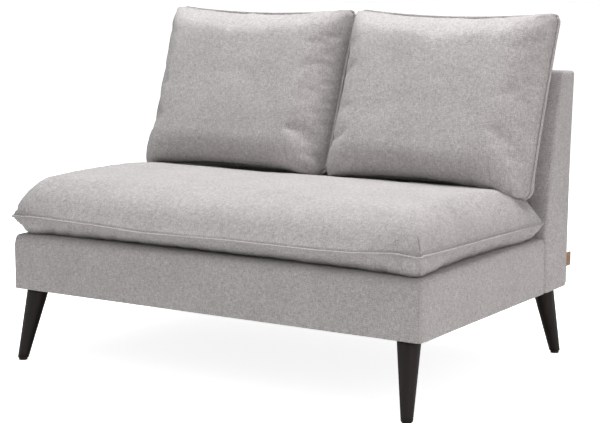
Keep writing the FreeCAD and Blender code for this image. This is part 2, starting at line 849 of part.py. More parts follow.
def seat_crown(inset):
    """A wide cylinder across the seat: the crown stands a little in front of the middle."""
    rise, radius, back, half = numbers(
        "cushion_rise", "cushion_crown_radius", "cushion_crown_back", "half"
    )
    middle = Vector(-half, back, rise - radius)
    return Part.makeCylinder(radius - inset, 2 * half, middle, Vector(1, 0, 0))


def pillow_plan():
    half, gap, radius, welt_gap = numbers("half / 2", "pillow_gap", "welt_radius", "welt_gap")
    height, side, end = numbers("pillow_height", "pillow_pull_side", "pillow_pull_end")
    return half - gap / 2 - 2 * radius - welt_gap, 0, height, (end, side, end, side)


def pillow_crown(inset):
    """A wide cylinder across the cushion, so the face stands out most at mid height."""
    rise, radius, height, half = numbers(
        "pillow_front_rise", "pillow_crown_radius", "pillow_height", "half"
    )
    middle = Vector(-half, height / 2, rise - radius)
    return Part.makeCylinder(radius - inset, 2 * half, middle, Vector(1, 0, 0))


def zip_tape(length):
    """Tape and teeth of a zip along X, with the teeth towards +Z."""
    tape, gauge, teeth, height = numbers(
        "zip_tape_width", "zip_tape_gauge", "zip_teeth_width", "zip_teeth_height"
    )
    band = slab(-length / 2, length / 2, -tape / 2, tape / 2, 0, gauge)
    return band.fuse(slab(-length / 2, length / 2, -teeth / 2, teeth / 2, gauge, gauge + height))


def zip_slider(length):
    """The slider, a channel over the teeth at one end of the zip, and its hanging pull."""
    run, width, wall, gap = numbers("zip_slider_length", "zip_slider_width", "zip_slider_wall", "zip_gap")
    teeth, height, tape = numbers("zip_teeth_width", "zip_teeth_height", "zip_tape_gauge")
    pull, pull_width, pull_gauge = numbers("zip_pull_length", "zip_pull_width", "zip_pull_gauge")
    low = -length / 2 + gap
    top = tape + height + gap
    channel = teeth / 2 + gap
    body = slab(low, low + run, -width / 2, width / 2, tape + gap, top + wall)
    body = body.cut(slab(low - 1, low + run + 1, -channel, channel, 0, top))
    middle = low + run / 2
    left, right = middle - pull_width / 2, middle + pull_width / 2
    tab = slab(left, right, 0, pull, top + wall, top + wall + pull_gauge)
    return body.fuse(tab).removeSplitter()


def put(node, label, shape, place):
    """A named piece made in its cushion's own frame and then put in its place."""
    piece = named(node, formed(label, shape))
    piece.Placement = place
    return piece


def make_seat_cushion():
    """A bench cushion with a thin raised seam all round and a zip along its rear seam."""
    plan = seat_plan()
    reach, gauge, corner, depth = numbers("lip_reach", "lip_gauge", "lip_corner", "cushion_depth")
    upper = (*numbers("cushion_rise", "cushion_round"), seat_crown)
    under = numbers("seam_height - deck_height - rest_gap", "cushion_under_round")
    lip = Part.Face(rounded_outline(plan, reach, corner)).extrude(Vector(0, 0, gauge))
    lip.translate(Vector(0, 0, -gauge / 2))
    cover, filling = cover_and_filling(plan, corner, upper, under, lip)
    place = Placement(Vector(0, *numbers("face_y", "seam_height")), Rotation())
    put("seat_cushion_cover", "SeatCushionCover", cover, place)
    put("seat_cushion_filling", "SeatCushionFilling", filling, place)
    length = 2 * number("half - zip_end_margin")
    seam = Placement(Vector(0, depth + reach, 0), Rotation(Vector(1, 0, 0), -90))
    put("seat_cushion_zip", "SeatCushionZip", zip_tape(length), place.multiply(seam))
    put("seat_zip_slider", "SeatZipSlider", zip_slider(length), place.multiply(seam))


def welt(plan):
    """Covered cord sewn into the seam all round, as one closed tube."""
    radius, gap, corner = numbers("welt_radius", "welt_gap", "pillow_corner")
    sides = int(number("welt_sides"))
    path = rounded_outline(plan, radius + gap, corner + radius + gap)
    start = path.OrderedEdges[0]
    spot = start.valueAt(start.FirstParameter)
    along = start.tangentAt(start.FirstParameter)
    across = along.cross(Vector(0, 0, 1))
    rim = []
    for side in range(sides + 1):
        turn = Rotation(along, 360 * (side + 0.5) / sides)
        rim.append(spot + turn.multVec(across * radius))
    return path.makePipeShell([Part.makePolygon(rim)], True, False)


def make_back_cushions():
    """Two knife-edge cushions with a welt, a crowned face and a zip low on the flat rear face."""
    plan = pillow_plan()
    lean, foot_y, foot_z, middle = numbers("pillow_lean", "pillow_foot_y", "pillow_foot_z", "half / 2")
    zip_height, margin = numbers("pillow_zip_height", "zip_end_margin")
    length = 2 * (plan[0] - margin)
    front = (*numbers("pillow_front_rise", "pillow_front_round"), pillow_crown)
    rear = numbers("pillow_rear_rise", "pillow_rear_round")
    cover, filling = cover_and_filling(plan, number("pillow_corner"), front, rear)
    rear_face = Placement(Vector(0, zip_height, -rear[0]), Rotation(Vector(1, 0, 0), 180))
    cord = welt(plan)
    for side, sign in SIDES.items():
        spot = Vector(int(sign) * middle, foot_y, foot_z)
        place = Placement(spot, Rotation(Vector(1, 0, 0), 90 - lean))
        on_rear = place.multiply(rear_face)
        put(f"{side}_back_cushion_cover", f"{side}CushionCover", cover.copy(), place)
        put(f"{side}_back_cushion_filling", f"{side}CushionFilling", filling.copy(), place)
        put(f"{side}_back_cushion_welt", f"{side}CushionWelt", cord.copy(), place)
        put(f"{side}_back_cushion_zip", f"{side}CushionZip", zip_tape(length), on_rear)
        put(f"{side}_zip_slider", f"{side}ZipSlider", zip_slider(length), on_rear)


make_base_rails()
make_side_rails()
make_corner_blocks()
make_back_frame()
make_lap_bolts()
make_legs()
make_seat_webbing()
make_seat_deck()
make_back_layers()
make_dust_cover()
make_side_tag()
make_seat_cushion()
make_back_cushions()
doc.recompute()

for thing in doc.Objects:
    if "Invalid" in thing.State or "Error" in thing.State:
        raise RuntimeError(f"{thing.Label} did not build: {thing.State}")
for node, thing in subparts.items():
    shape = thing.Shape
    if shape.isNull() or not shape.isValid() or not shape.Solids:
        raise RuntimeError(f"{node} is not a valid solid")

os.makedirs("parts", exist_ok=True)
for node, thing in subparts.items():
    thing.Shape.exportStep(f"parts/{node}.step")
print(f"{len(subparts)} sub-parts written")
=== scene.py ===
import json
import math

import bpy
import numpy as np
from mathutils import Matrix, Vector, noise


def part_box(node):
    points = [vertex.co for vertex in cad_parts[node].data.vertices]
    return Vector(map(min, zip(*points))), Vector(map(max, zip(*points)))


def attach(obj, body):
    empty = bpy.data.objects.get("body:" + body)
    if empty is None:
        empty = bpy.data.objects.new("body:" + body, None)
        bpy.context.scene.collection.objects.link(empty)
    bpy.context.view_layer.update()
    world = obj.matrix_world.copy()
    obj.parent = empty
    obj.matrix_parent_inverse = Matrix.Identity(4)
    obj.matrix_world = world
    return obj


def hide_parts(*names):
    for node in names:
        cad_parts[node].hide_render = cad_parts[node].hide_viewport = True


# Armless two-seat sofa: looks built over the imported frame, in metres, front towards -Y.

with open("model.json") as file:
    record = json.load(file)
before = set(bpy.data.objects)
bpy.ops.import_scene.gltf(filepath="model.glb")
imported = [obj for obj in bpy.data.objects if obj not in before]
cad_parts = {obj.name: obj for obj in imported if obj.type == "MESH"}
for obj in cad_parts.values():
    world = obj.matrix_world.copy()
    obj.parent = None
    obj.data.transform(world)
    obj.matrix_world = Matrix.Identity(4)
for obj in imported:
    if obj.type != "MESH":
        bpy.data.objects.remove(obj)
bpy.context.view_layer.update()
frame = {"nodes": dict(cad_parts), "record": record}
nodes = frame["nodes"]
print("frame loaded:", len(nodes), "nodes")


# Colours and shader nodes

def colour(code):  # sRGB hex to the linear values that a shader takes
    channels = [int(code[place:place + 2], 16) / 255 for place in (1, 3, 5)]
    linear = [c / 12.92 if c <= 0.04045 else ((c + 0.055) / 1.055) ** 2.4 for c in channels]
    return (*linear, 1.0)


def addNode(tree, kind, inputs=None, stops=(), **settings):
    # an input is a node, whose first output is taken, or a socket or a value
    node = tree.nodes.new(kind)
    for name, value in settings.items():
        setattr(node, name, value)
    for name, value in (inputs or {}).items():
        if isinstance(value, bpy.types.Node):
            value = value.outputs[0]
        if isinstance(value, bpy.types.NodeSocket):
            tree.links.new(value, node.inputs[name])
        else:
            node.inputs[name].default_value = value
    if stops:
        points = node.color_ramp.elements
        while len(points) < len(stops):
            points.new(0.5)
        for point, (place, code) in zip(points, stops):
            point.position = place
            point.color = colour(code)
    return node


def newMaterial(name, **values):
    material = bpy.data.materials.new(name)
    material.use_nodes = True
    tree = material.node_tree
    shader = tree.nodes["Principled BSDF"]
    for socket, value in values.items():
        shader.inputs[socket.replace("_", " ")].default_value = value
    return material, tree, shader


def dress(tree, shader, tone, stops, height, distance, strength):  # gives it colour and relief
    tones = addNode(tree, "ShaderNodeValToRGB", {"Fac": tone}, stops)
    relief = {"Height": height, "Distance": distance, "Strength": strength}
    tree.links.new(tones.outputs["Color"], shader.inputs["Base Color"])
    tree.links.new(addNode(tree, "ShaderNodeBump", relief).outputs["Normal"], shader.inputs["Normal"])


linen = {
    "yarn": 0.0021,  # pitch of the weave, coarser than the real one so that it shows
    "slubLength": 0.011,
    "yarnStep": 7.31,  # how far apart in the noise neighbouring yarns lie
    "cloudScale": 9.0,
    "cloud": 0.10,
    # how much lighter the crests of the yarns are painted than the grooves between them: painted shade
    "crestReliefAndShade": 0.24,
    "stops": ((0.4736, "#908B8B"), (0.7036, "#BCB8B8"), (0.9336, "#DCD9D9")),
    "slubRelief": 0.8,
    "relief": 0.00045,
    "bump": 0.8,
    "seeds": (0.0, 37.0),  # of the yarns across and of those along
}


def linenMaterial(name):  # plain weave, with slubs along single yarns and a little sheen
    material, tree, shader = newMaterial(
        name, Roughness=0.92, Sheen_Weight=0.25, Sheen_Roughness=0.5, Specular_IOR_Level=0.25
    )
    uv = addNode(tree, "ShaderNodeTexCoord").outputs["UV"]
    split = addNode(tree, "ShaderNodeSeparateXYZ", {0: uv})
    along, across = split.outputs["X"], split.outputs["Y"]
    indices, yarns, ridges = [], [], []
    for place, length, seed in zip((along, across), (across, along), linen["seeds"]):
        count = addNode(tree, "ShaderNodeMath", {0: place, 1: linen["yarn"]}, operation="DIVIDE")
        index = addNode(tree, "ShaderNodeMath", {0: count}, operation="FLOOR")
        indices.append(index)
        # each yarn has its own run of slubs, so its shade changes along its length only
        run = addNode(tree, "ShaderNodeMath", {0: length, 1: linen["slubLength"]}, operation="DIVIDE")
        step = addNode(tree, "ShaderNodeMath", {0: index, 1: linen["yarnStep"]}, operation="MULTIPLY")
        spot = addNode(tree, "ShaderNodeCombineXYZ", {"X": run, "Y": step, "Z": seed})
        slubs = {"Vector": spot, "Scale": 1.0, "Detail": 2.0, "Roughness": 0.6}
        yarns.append(addNode(tree, "ShaderNodeTexNoise", slubs))
        # rounded yarn sections, used for the relief and for a painted shade between yarns
        turn = addNode(tree, "ShaderNodeMath", {0: count, 1: math.pi}, operation="MULTIPLY")
        wave = addNode(tree, "ShaderNodeMath", {0: turn}, operation="SINE")
        ridges.append(addNode(tree, "ShaderNodeMath", {0: wave}, operation="ABSOLUTE"))
    total = addNode(tree, "ShaderNodeMath", {0: indices[0], 1: indices[1]}, operation="ADD")
    total = addNode(tree, "ShaderNodeMath", {0: total}, operation="ABSOLUTE")
    overs = addNode(tree, "ShaderNodeMath", {0: total, 1: 2.0}, operation="MODULO")
    shade = addNode(tree, "ShaderNodeMix", {0: overs, 2: yarns[0], 3: yarns[1]}, data_type="FLOAT")
    crestReliefAndShade = addNode(tree, "ShaderNodeMix", {0: overs, 2: ridges[0], 3: ridges[1]}, data_type="FLOAT")
    # broad, faint change of shade over the cloth
    broad = {"Vector": uv, "Scale": linen["cloudScale"], "Detail": 3.0}
    clouded = {0: addNode(tree, "ShaderNodeTexNoise", broad), 1: linen["cloud"], 2: shade}
    tone = addNode(tree, "ShaderNodeMath", clouded, operation="MULTIPLY_ADD")
    # painted shade: the crests of the yarns are painted lighter and the grooves between them darker
    paintedCrestShade = {0: crestReliefAndShade, 1: linen["crestReliefAndShade"], 2: tone}
    tone = addNode(tree, "ShaderNodeMath", paintedCrestShade, operation="MULTIPLY_ADD")
    slubs = {0: shade, 1: linen["slubRelief"], 2: crestReliefAndShade}
    height = addNode(tree, "ShaderNodeMath", slubs, operation="MULTIPLY_ADD")
    dress(tree, shader, tone, linen["stops"], height, linen["relief"], linen["bump"])
    return material


grain = {
    "fibres": 0.75, "detail": 6.0, "waver": 0.4, "rings": 0.25, "ringScale": 6.0,
    "places": (0.34, 0.5, 0.66), "bump": 0.6,
}


def grainMaterial(name, tones, stretch, rough, relief):  # fine fibres drawn out along the timber
    material, tree, shader = newMaterial(name, Roughness=rough, Specular_IOR_Level=0.28)
    place = addNode(tree, "ShaderNodeTexCoord").outputs["Object"]
    long = addNode(tree, "ShaderNodeMapping", {"Vector": place, "Scale": stretch})
    fine = {"Vector": long, "Scale": 1.0, "Detail": grain["detail"], "Distortion": grain["waver"]}
    fibres = addNode(tree, "ShaderNodeTexNoise", fine)
    wide = {"Vector": place, "Scale": grain["ringScale"], "Detail": 2.0}
    rings = addNode(tree, "ShaderNodeTexNoise", wide)
    rings = addNode(tree, "ShaderNodeMath", {0: rings, 1: grain["rings"]}, operation="MULTIPLY")
    mixed = {0: fibres, 1: grain["fibres"], 2: rings}
    tone = addNode(tree, "ShaderNodeMath", mixed, operation="MULTIPLY_ADD")
    stops = tuple(zip(grain["places"], tones))
    dress(tree, shader, tone, stops, fibres, relief, grain["bump"])
    return material


speckle = {"detail": 4.0, "places": (0.3, 0.7), "bump": 0.7}


def speckleMaterial(name, tones, scale, rough, relief, metallic=0.0, cells=False):
    material, tree, shader = newMaterial(name, Roughness=rough, Metallic=metallic)
    pattern = {"Vector": addNode(tree, "ShaderNodeTexCoord").outputs["Object"], "Scale": scale}
    if cells:
        value = addNode(tree, "ShaderNodeTexVoronoi", pattern)
    else:
        value = addNode(tree, "ShaderNodeTexNoise", dict(pattern, Detail=speckle["detail"]))
    stops = tuple(zip(speckle["places"], tones))
    dress(tree, shader, value, stops, value, relief, speckle["bump"])
    return material


woven = {
    # the weave's pattern is both the relief and a painted shade; share is its weight beside the fuzz
    "depthShare": 0.5, "share": 0.25, "fuzzScale": 300.0, "places": (0.3, 0.75), "bump": 0.8,
}


def wovenMaterial(name, tones, pitch, relief):  # plain weave of bands and tapes, seen from any side
    material, tree, shader = newMaterial(name, Roughness=0.85)
    place = addNode(tree, "ShaderNodeTexCoord").outputs["Object"]
    split = addNode(tree, "ShaderNodeSeparateXYZ", {0: place})
    waves = []
    for axis in ("X", "Y", "Z"):
        turn = {0: split.outputs[axis], 1: 2 * math.pi / pitch}
        turn = addNode(tree, "ShaderNodeMath", turn, operation="MULTIPLY")
        waves.append(addNode(tree, "ShaderNodeMath", {0: turn}, operation="SINE"))
    # the weave's relief is painted into the colour as well: raised crossings lighter, sunk ones
    # darker, a painted shade
    product = addNode(tree, "ShaderNodeMath", {0: waves[0], 1: waves[1]}, operation="MULTIPLY")
    weave = {0: waves[2], 1: woven["depthShare"], 2: product}
    weave = addNode(tree, "ShaderNodeMath", weave, operation="MULTIPLY_ADD")
    fuzz = addNode(tree, "ShaderNodeTexNoise", {"Vector": place, "Scale": woven["fuzzScale"]})
    value = {0: weave, 1: woven["share"], 2: fuzz}
    value = addNode(tree, "ShaderNodeMath", value, operation="MULTIPLY_ADD")
    stops = tuple(zip(woven["places"], tones))
    dress(tree, shader, value, stops, value, relief, woven["bump"])
    return material


# The scale of a speckle is in repeats per metre.

materials = {
    # woven linen: matt and a little cloudy, with slubs that catch the light
    # the crests of its yarns are painted lighter and the grooves between them darker: painted shade
    "linen": linenMaterial("wovenLinen"),
    # spun polyester: a dull, finely twisted line a shade darker than the cloth; its twist is
    # drawn at 1.1 mm, about twice as coarse as real
    "thread": speckleMaterial("spunPolyester", ("#75706F", "#969190"), 900.0, 0.7, 0.0001),
    "tack": speckleMaterial("brownSpunPolyester", ("#4A3226", "#6B4A38"), 900.0, 0.7, 0.0001),
    # turned and stained beech: nearly black, with a soft low shine; grain in bands of 17 mm
    "wenge": grainMaterial(
        "stainedBeech", ("#0C0706", "#160E0C", "#231713"), (60.0, 60.0, 5.0), 0.5, 0.00012
    ),
    # planed pine: pale and dry, with long streaks in bands of 17 mm
    "timber": grainMaterial(
        "planedPine", ("#B98F5C", "#D3AE7A", "#E2C392"), (4.0, 60.0, 60.0), 0.6, 0.0002
    ),
    # pressed fibreboard: brown and flat, with bundles of fibre of about 4 mm
    "board": speckleMaterial("pressedFibreboard", ("#6B4A2D", "#8F6A44"), 260.0, 0.7, 0.0002),
    # cut foam: a matt, grainy face of open cells, drawn at 2.4 mm, coarser than real
    "foam": speckleMaterial(
        "cutFoam", ("#D9CFA6", "#EFE8C8"), 420.0, 0.95, 0.0006, cells=True
    ),
    # needled wadding: white and fluffy, in tufts of 8 mm
    "wadding": speckleMaterial("needledWadding", ("#DAD9D6", "#F2F1EF"), 120.0, 0.98, 0.001),
    # woven webbing: dark and ribbed, with bands of 4 mm
    # its ribs are painted lighter and the grooves between them darker: painted shade
    "webbing": wovenMaterial("wovenWebbing", ("#1B1918", "#4A4542"), 0.004, 0.0004),
    # zinc-plated steel: grey and slightly cloudy, in clouds of 11 mm
    "steel": speckleMaterial("zincPlatedSteel", ("#8E8F92", "#B7B9BC"), 90.0, 0.35, 0.00005, 1.0),
    # moulded polyethylene: black, with the faint 2 mm texture of its mould
    "glide": speckleMaterial("mouldedPolyethylene", ("#161616", "#232323"), 500.0, 0.55, 0.0001),
    # spun-bonded polypropylene: black and quite matt, with bonding points of 1.4 mm
    "dust": speckleMaterial(
        "spunbondPolypropylene", ("#0D0D0E", "#222224"), 700.0, 0.95, 0.0003, cells=True
    ),
    # woven polyester: a smooth, close tape; both weaves are drawn coarser than real
    # both tapes also carry the painted shade of their weave's crossings
    "tape": wovenMaterial("wovenPolyesterTape", ("#8B8685", "#B3AEAD"), 0.0012, 0.0002),
    "ribbon": wovenMaterial("wovenPolyesterRibbon", ("#8A6B52", "#B5967C"), 0.0011, 0.0002),
    # enamelled zinc: grey with a low metal shine, mottled every 5 mm
    "zipMetal": speckleMaterial("enamelledZinc", ("#7F7B7A", "#A19C9B"), 200.0, 0.35, 0.00005, 0.6),
}
print("materials made:", len(materials))


# Meshes

def newMesh(name, points, faces):
    mesh = bpy.data.meshes.new(name)
    mesh.from_pydata([tuple(p) for p in points], [], [tuple(int(i) for i in f) for f in faces])
    return mesh


def newObject(name, data):
    made = bpy.data.objects.new(name, data)
    bpy.context.scene.collection.objects.link(made)
    return made


def meshPiece(name, points, faces, material, body, uvs=None):
    mesh = newMesh(name, points, faces)
    mesh.materials.append(material)
    if uvs is not None:
        layer = mesh.uv_layers.new(name="cloth")
        loops = np.zeros(len(mesh.loops), np.int32)
        mesh.loops.foreach_get("vertex_index", loops)
        layer.data.foreach_set("uv", np.asarray(uvs, np.float32)[loops].ravel())
    mesh.polygons.foreach_set("use_smooth", [True] * len(mesh.polygons))
    mesh.update()
    piece = newObject(name, mesh)
    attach(piece, body)
    return piece


def edgeSteps(length, edge, fine, coarse):  # places along a length, closer in its rounded ends
    turn = np.linspace(0, math.pi / 2, fine + 1)
    near = edge * (1 - np.cos(turn))
    middle = np.linspace(edge, length - edge, coarse + 1)[1:-1]
    return np.concatenate([near, middle, length - near[::-1]])


def gridFaces(index, flip=False):
    faces = []
    rows, columns = index.shape
    for row in range(rows - 1):
        for column in range(columns - 1):
            quad = (
                index[row, column], index[row, column + 1],
                index[row + 1, column + 1], index[row + 1, column],
            )
            faces.append(quad[::-1] if flip else quad)
    return faces


# Cushion shapes

def softNoise(point, scale, seed):
    return noise.noise(Vector(point) * scale + Vector((seed, seed * 1.7, -seed)))


def panelShape(values, rise, edge, crowned):  # its plan, height, distance from the seam, profile
    half, depth = values["half"], values["depth"]
    xs = edgeSteps(2 * half, values["edge"], values["fine"], values["columns"])
    ys = edgeSteps(depth, values["edge"], values["fine"], values["rows"])
    gridX, gridY = np.meshgrid(xs, ys)
    fromX = np.minimum(gridX, 2 * half - gridX)
    fromY = np.minimum(gridY, depth - gridY)
    reaches = ((fromX, edge * values["sideShare"]), (fromY, edge))
    across, up = [np.sqrt(1 - (1 - np.minimum(away / reach, 1)) ** 2) for away, reach in reaches]
    across, up = np.maximum(across, 1e-5), np.maximum(up, 1e-5)  # no division by zero at the seam
    profile = 1 / np.sqrt(across ** -2 + up ** -2 - 1)
    height = rise * profile
    if crowned:
        height = height - profile * ((gridY - values["crownAt"]) ** 2 / (2 * values["crownRadius"]))
    return xs, ys, height, np.minimum(fromX, fromY), profile


def drawnIn(values, xs, ys):  # sides pulled in between the corners, and the corners rounded
    half, depth, corner = values["half"], values["depth"], values["corner"]
    middle = depth / 2
    x, y = np.meshgrid(xs - half, ys)
    u, v = x / half, 2 * y / depth - 1
    pull = np.where(v > 0, values["pullFar"], values["pullNear"])
    x = x * (1 - values["pullSides"] / half * (1 - v ** 2))
    y = middle + (y - middle) * (1 - pull / middle * (1 - u ** 2))
    overX = np.maximum(0, np.abs(x) - (half - corner)) / corner
    overY = np.maximum(0, np.abs(y - middle) - (middle - corner)) / corner
    roundX = half - corner + corner * overX * np.sqrt(1 - overY ** 2 / 2)
    x = np.where(overX > 0, np.sign(x) * roundX, x)
    roundY = middle - corner + corner * overY * np.sqrt(1 - overX ** 2 / 2)
    y = np.where(overY > 0, middle + np.sign(y - middle) * roundY, y)
    return x, y


def clothLength(places, heights):  # distance over the cloth, up and down its shape
    return np.concatenate([[0], np.cumsum(np.hypot(np.diff(places), np.diff(heights)))])


def cushionPanels(values, place):  # a crowned front panel and a plainer rear one that share one seam
    points, uvs, indices = [], [], []
    panels = ((values["rise"], values["edge"], True), (-values["fall"], values["fallEdge"], False))
    for side, panel in enumerate(panels):
        xs, ys, z, away, profile = panelShape(values, *panel)
        x, y = drawnIn(values, xs, ys)
        acrossX = clothLength(xs, z[len(ys) // 2])
        acrossY = clothLength(ys, z[:, len(xs) // 2]) + side * values["panelShift"]
        index = np.zeros(x.shape, int)
        for row in range(x.shape[0]):
            for column in range(x.shape[1]):
                onSeam = row in (0, x.shape[0] - 1) or column in (0, x.shape[1] - 1)
                if side == 1 and onSeam:
                    index[row, column] = indices[0][row, column]
                    continue
                index[row, column] = len(points)
                flat = Vector((x[row, column], y[row, column], z[row, column]))
                shaped = values["shape"](flat, away[row, column], profile[row, column], values)
                points.append(place @ shaped)
                uvs.append((acrossX[column], acrossY[row]))
        indices.append(index)
    faces = gridFaces(indices[0]) + gridFaces(indices[1], flip=True)
    return points, faces, uvs, indices[0]


def ringOf(index, inset):  # the grid's closed ring of points that many steps in from the seam
    block = index[inset:index.shape[0] - inset, inset:index.shape[1] - inset]
    return [*block[0, :], *block[1:, -1], *block[-1, -2::-1], *block[-2:0:-1, 0]]


stuffing = {
    "pressure": 4.0,
    "slack": 0.022,  # share by which the cloth is cut larger than its shape
    "frames": 20,
    "mass": 0.3,
    "stiff": 18.0,
    "shearShare": 3,
    "bend": 0.35,
    "quality": 5,
}


def plump(points, faces, seam, values):  # the cover filled from inside, held at its seam
    mesh = newMesh("plumping", points, faces)
    shell = newObject("plumping", mesh)
    scene = bpy.context.scene
    held = shell.vertex_groups.new(name="seam")
    held.add([int(i) for i in seam], 1.0, "REPLACE")
    cloth = shell.modifiers.new("cloth", "CLOTH")
    settings = cloth.settings
    settings.vertex_group_mass = "seam"
    settings.quality = stuffing["quality"]
    settings.mass = stuffing["mass"]
    settings.use_pressure = True
    settings.uniform_pressure_force = stuffing["pressure"]
    settings.tension_stiffness = stuffing["stiff"]
    settings.compression_stiffness = stuffing["stiff"]
    settings.shear_stiffness = stuffing["stiff"] / stuffing["shearShare"]
    settings.bending_stiffness = stuffing["bend"]
    settings.shrink_min = -stuffing["slack"]
    settings.effector_weights.gravity = 0
    cloth.collision_settings.use_collision = False
    cloth.collision_settings.use_self_collision = False
    cloth.point_cache.frame_start = 1
    cloth.point_cache.frame_end = stuffing["frames"]
    for step in range(1, stuffing["frames"] + 1):
        scene.frame_set(step)
    filled = shell.evaluated_get(bpy.context.evaluated_depsgraph_get()).data
    moved = np.zeros(len(filled.vertices) * 3, np.float64)
    filled.vertices.foreach_get("co", moved)
    start = np.array([tuple(p) for p in points])
    shift = moved.reshape(-1, 3) - start
    reach = np.linalg.norm(shift, axis=1, keepdims=True)
    limit = values["cap"]
    shift = shift * (limit * np.tanh(reach / limit) / np.maximum(reach, 1e-9))
    bpy.data.objects.remove(shell)
    bpy.data.meshes.remove(mesh)
    scene.frame_set(1)
    print("plumped", len(points), "points, largest shift", round(float(np.abs(shift).max()), 4))
    return [Vector(p) for p in start + shift]


def pressFlat(points, place, limit):  # nothing stands out past the flat face behind
    back = place.inverted()
    pressed = []
    for point in points:
        local = back @ point
        local.z = max(local.z, -limit)
        pressed.append(place @ local)
    return pressed


gathers = {"scale": 34, "level": 0.3, "reach": 0.03, "start": 0.006}
folds = {"count": 9, "turnX": 5, "turnY": 7, "start": 0.012}


def pucker(point, away, depth, seed):  # short gathers that run in from the seam
    scale = gathers["scale"]
    spot = Vector((point.x * scale + seed, point.y * scale - seed, gathers["level"]))
    inward = math.exp(-away / gathers["reach"]) * min(1.0, away / gathers["start"])
    return depth * inward * noise.noise(spot)


def swelling(x, y, values):  # broad and small lumps of the filling
    return sum(
        softNoise((x, y, level), scale, values["seed"] + shift) * height
        for level, scale, shift, height in values["lumps"]
    )


def cornerFolds(point, values):  # folds that fan out of each corner of the cushion
    lift = 0.0
    for cornerX in (-values["half"], values["half"]):
        for cornerY in (0.0, values["depth"]):
            alongX, alongY = abs(point.x - cornerX), abs(point.y - cornerY)
            away = math.hypot(alongX, alongY)
            turn = math.atan2(alongY, alongX + 1e-9)
            phase = values["seed"] + cornerX * folds["turnX"] + cornerY * folds["turnY"]
            fan = math.sin(turn * folds["count"] + phase)
            fade = math.exp(-away / values["creaseReach"]) * min(1.0, away / folds["start"])
            lift += values["crease"] * fan * fade
    return lift


# Seat cushion

def seatSurface(point, away, profile, values):
    x, y, z = point
    z *= 1 - values["pinch"] * math.exp(-away / values["pinchReach"])
    z += swelling(x, y, values) * profile if z >= 0 else 0.0
    z += pucker(point, away, values["pucker"], values["seed"])
    z += cornerFolds(point, values)
    # the seam's own rise and fall, strongest at the front and the ends, fading out below it
    places, lifts = zip(*values["seamWave"])
    inward = max(0.0, min(y, values["waveHalf"] - abs(x)))
    near = max(0.0, 1 - y / values["waveDepth"]) * math.exp(-inward / values["waveReach"])
    below = values["waveBelow"]
    fade = 1.0 if z > -below else max(0.0, 1 + (z + below) / below)
    z += float(np.interp(x, places, lifts)) * near * fade
    return Vector((x, y, z))


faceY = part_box("base_cover")[0].y
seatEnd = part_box("seat_cushion_cover")[1].x
seatInset = 0.002  # left at each end for the lumps and the folds

seatCushion = {
    "half": seatEnd - seatInset,
    "depth": 0.652,
    "seamHeight": 0.370,
    "edge": 0.092,
    "sideShare": 0.62,
    "rise": 0.101,
    "cap": 0.010,
    "fall": 0.0430,
    "flat": 0.0414,
    "fallEdge": 0.046,
    "crownAt": 0.28,
    "crownRadius": 2.1,
    "pullSides": 0.004,
    "pullNear": 0.003,
    "pullFar": 0.0,
    "corner": 0.007,
    "crease": 0.0045,
    "creaseReach": 0.060,
    "pinch": 0.5,
    "pinchReach": 0.010,
    "lumps": ((0.4, 3.2, 2.0, 0.006), (0.1, 9.0, -1.0, 0.0018)),
    "seed": 3.0,
    "fine": 10,
    "columns": 90,
    "rows": 42,
    "pucker": 0.004,
    "seamWave": (
        (-0.60, 0.005), (-0.53, 0.008), (-0.315, 0.003), (-0.182, -0.003),
        (0.057, 0.002), (0.316, 0.002), (0.428, 0.005), (0.53, 0.014), (0.60, 0.010),
    ),
    "waveHalf": 0.6,
    "waveDepth": 0.5,
    "waveReach": 0.12,
    "waveBelow": 0.02,
    "panelShift": 3,
    "lip": (0.0045, 0.0024, 0.0014),
    "tackRows": (2, 4),
    "tackLift": (0.0008, -0.0013, 0.0007),
    "shape": seatSurface,
}


def sweptLoop(points, section, closed=True, up=None):  # a section carried along a path
    count = len(points)
    rings, uvs, travel = [], [], 0.0
    if up is None:
        arms = [point - points[0] for point in points]
        fans = [arms[i].cross(arms[(i + 1) % count]) for i in range(count)]
        up = sum(fans, Vector()).normalized()
    for i, point in enumerate(points):
        before = points[i - 1] if closed or i else point
        after = points[(i + 1) % count] if closed or i < count - 1 else point
        along = (after - before).normalized()
        out = along.cross(up).normalized()
        travel += (point - before).length if i else 0.0
        rings.append([point + out * a + up * b for a, b in section])
        girth = 0.0
        for j, (a, b) in enumerate(section):
            if j:
                girth += math.hypot(a - section[j - 1][0], b - section[j - 1][1])
            uvs.append((travel + girth, travel - girth))
    sides = len(section)
    vertices = [v for ring in rings for v in ring]
    faces = []
    for i in range(count if closed else count - 1):
        after = (i + 1) % count
        for j in range(sides):
            faces.append((
                i * sides + j, after * sides + j,
                after * sides + (j + 1) % sides, i * sides + (j + 1) % sides,
            ))
    if not closed:
        far = (count - 1) * sides
        faces += [tuple(range(sides)), tuple(far + j for j in reversed(range(sides)))]
    return vertices, faces, uvs


def ellipseSection(wide, high, shift, sides=10):
    turns = [2 * math.pi * (side + 0.5) / sides for side in range(sides)]
    return [(shift + wide * math.cos(turn), high * math.sin(turn)) for turn in turns]


def filledCover(name, body, place, values):  # filled, and flat where it rests on what is behind it
    points, faces, uvs, grid = cushionPanels(values, place)
    points = plump(points, faces, ringOf(grid, 0), values)
    points = pressFlat(points, place, values["flat"])
    cushion = meshPiece(name, points, faces, materials["linen"], body, uvs)
    seam, stitchLine = [[points[i] for i in ringOf(grid, inset)] for inset in (0, 1)]
    diagonal = [points[grid[row, -1 - row]] for row in range(min(grid.shape) // 2)]
    return cushion, seam, stitchLine, diagonal


